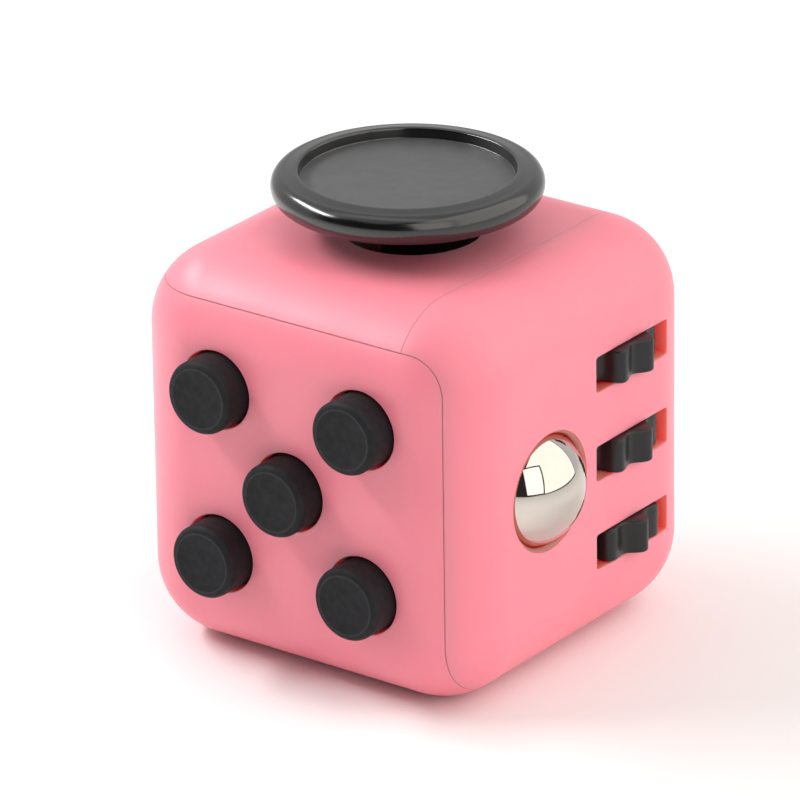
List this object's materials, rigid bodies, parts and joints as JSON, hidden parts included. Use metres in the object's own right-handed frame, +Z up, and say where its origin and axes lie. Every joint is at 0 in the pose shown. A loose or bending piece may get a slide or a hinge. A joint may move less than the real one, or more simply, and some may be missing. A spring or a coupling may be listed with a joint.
{
  "type": "fidget cube",
  "caption": "Pocket fidget cube with rounded edges: push buttons, pressable rolling ball, edge gear wheels, joystick, spin dial, rocker switch and a thumb dish, one control set per face.",
  "frame": {"origin": "centre of the bottom face", "axes": "+Z up to the joystick, -Y towards the push buttons, +X towards the ball and gear wheels"},
  "size_m": [0.0379, 0.0374, 0.0381],
  "materials": {
    "body_plastic": "semi-gloss pink moulded plastic, slightly translucent",
    "button_rubber": "matt black rubber with a dusty bloom",
    "dome_rubber": "matt grey silicone rubber",
    "gloss_black": "gloss black moulded plastic",
    "gear_plastic": "satin dark grey moulded plastic",
    "ball_chrome": "mirror polished steel",
    "inner_plastic": "dark grey moulded plastic",
    "spring_steel": "bright spring steel",
    "screw_steel": "zinc-plated steel",
    "brass": "turned brass"
  },
  "bodies": {
    "housing": {"main_shell": "body_plastic", "right_cover": "body_plastic", "top_cover": "body_plastic", "button_dome_top_left": "dome_rubber", "button_dome_top_right": "dome_rubber", "button_dome_center": "dome_rubber", "button_dome_bottom_left": "dome_rubber", "button_dome_bottom_right": "dome_rubber", "button_plate": "inner_plastic", "ball_cup": "inner_plastic", "gear_bracket": "inner_plastic", "joystick_housing": "inner_plastic", "rocker_cage": "inner_plastic", "ball_spring": "spring_steel", "joystick_spring": "spring_steel", "rocker_leaf_spring": "spring_steel", "gear_click_leaf_upper": "spring_steel", "gear_click_leaf_middle": "spring_steel", "gear_click_leaf_lower": "spring_steel", "button_plate_screw_1": "screw_steel", "button_plate_screw_2": "screw_steel", "button_plate_screw_3": "screw_steel", "button_plate_screw_4": "screw_steel", "ball_cup_screw_upper": "screw_steel", "ball_cup_screw_lower": "screw_steel", "gear_bracket_screw_upper": "screw_steel", "gear_bracket_screw_lower": "screw_steel", "joystick_screw_left": "screw_steel", "joystick_screw_right": "screw_steel", "rocker_cage_screw_upper": "screw_steel", "rocker_cage_screw_lower": "screw_steel", "gear_axle": "screw_steel", "rocker_pivot_pin": "screw_steel", "dial_bush": "brass"},
    "button_top_left": {"button_top_left": "button_rubber"},
    "button_top_right": {"button_top_right": "button_rubber"},
    "button_center": {"button_center": "button_rubber"},
    "button_bottom_left": {"button_bottom_left": "button_rubber"},
    "button_bottom_right": {"button_bottom_right": "button_rubber"},
    "joystick_ring": {"joystick_gimbal_ring": "inner_plastic"},
    "joystick": {"joystick_stem": "gloss_black", "joystick_cap": "gloss_black"},
    "ball_carrier": {"ball_plunger": "brass"},
    "ball": {"ball": "ball_chrome"},
    "gear_upper": {"gear_wheel_upper": "gear_plastic"},
    "gear_middle": {"gear_wheel_middle": "gear_plastic"},
    "gear_lower": {"gear_wheel_lower": "gear_plastic"},
    "dial": {"spin_dial": "gloss_black", "dial_washer": "screw_steel", "dial_screw": "screw_steel"},
    "rocker": {"rocker_switch": "gloss_black"}
  },
  "joints": [
    {"name": "button_top_left_press", "type": "slide", "parent": "housing", "child": "button_top_left", "axis": [0, 1, 0], "range_m": [0, 0.0011], "stiffness_N_per_m": 300, "deforming": ["button_dome_top_left"]},
    {"name": "button_top_right_press", "type": "slide", "parent": "housing", "child": "button_top_right", "axis": [0, 1, 0], "range_m": [0, 0.0011], "stiffness_N_per_m": 300, "deforming": ["button_dome_top_right"]},
    {"name": "button_center_press", "type": "slide", "parent": "housing", "child": "button_center", "axis": [0, 1, 0], "range_m": [0, 0.0011], "stiffness_N_per_m": 300, "deforming": ["button_dome_center"]},
    {"name": "button_bottom_left_press", "type": "slide", "parent": "housing", "child": "button_bottom_left", "axis": [0, 1, 0], "range_m": [0, 0.0011], "stiffness_N_per_m": 300, "deforming": ["button_dome_bottom_left"]},
    {"name": "button_bottom_right_press", "type": "slide", "parent": "housing", "child": "button_bottom_right", "axis": [0, 1, 0], "range_m": [0, 0.0011], "stiffness_N_per_m": 300, "deforming": ["button_dome_bottom_right"]},
    {"name": "joystick_tilt_forward", "type": "hinge", "parent": "housing", "child": "joystick_ring", "pos_m": [-0.00027, -0.0002, 0.0255], "axis": [1, 0, 0], "range_deg": [-9, 9], "stiffness_Nm_per_rad": 0.03, "deforming": ["joystick_spring"]},
    {"name": "joystick_tilt_side", "type": "hinge", "parent": "joystick_ring", "child": "joystick", "pos_m": [-0.00027, -0.0002, 0.0255], "axis": [0, 1, 0], "range_deg": [-9, 9], "stiffness_Nm_per_rad": 0.03},
    {"name": "ball_press", "type": "slide", "parent": "housing", "child": "ball_carrier", "axis": [-1, 0, 0], "range_m": [0, 0.0008], "stiffness_N_per_m": 400, "deforming": ["ball_spring"]},
    {"name": "ball_roll", "type": "hinge", "parent": "ball_carrier", "child": "ball", "pos_m": [0.0139, -0.00487, 0.0165], "axis": [0, 0, 1], "continuous": true},
    {"name": "gear_upper_spin", "type": "hinge", "parent": "housing", "child": "gear_upper", "pos_m": [0.01274, 0.00624, 0.02401], "axis": [0, 0, 1], "continuous": true, "deforming": ["gear_click_leaf_upper"]},
    {"name": "gear_middle_spin", "type": "hinge", "parent": "housing", "child": "gear_middle", "pos_m": [0.01274, 0.00624, 0.0165], "axis": [0, 0, 1], "continuous": true, "deforming": ["gear_click_leaf_middle"]},
    {"name": "gear_lower_spin", "type": "hinge", "parent": "housing", "child": "gear_lower", "pos_m": [0.01274, 0.00624, 0.00899], "axis": [0, 0, 1], "continuous": true, "deforming": ["gear_click_leaf_lower"]},
    {"name": "dial_spin", "type": "hinge", "parent": "housing", "child": "dial", "pos_m": [-0.0165, 0, 0.0165], "axis": [-1, 0, 0], "continuous": true},
    {"name": "rocker_flip", "type": "hinge", "parent": "housing", "child": "rocker", "pos_m": [0, 0.0132, 0.0165], "axis": [1, 0, 0], "range_deg": [-16, 0], "deforming": ["rocker_leaf_spring"]}
  ]
}
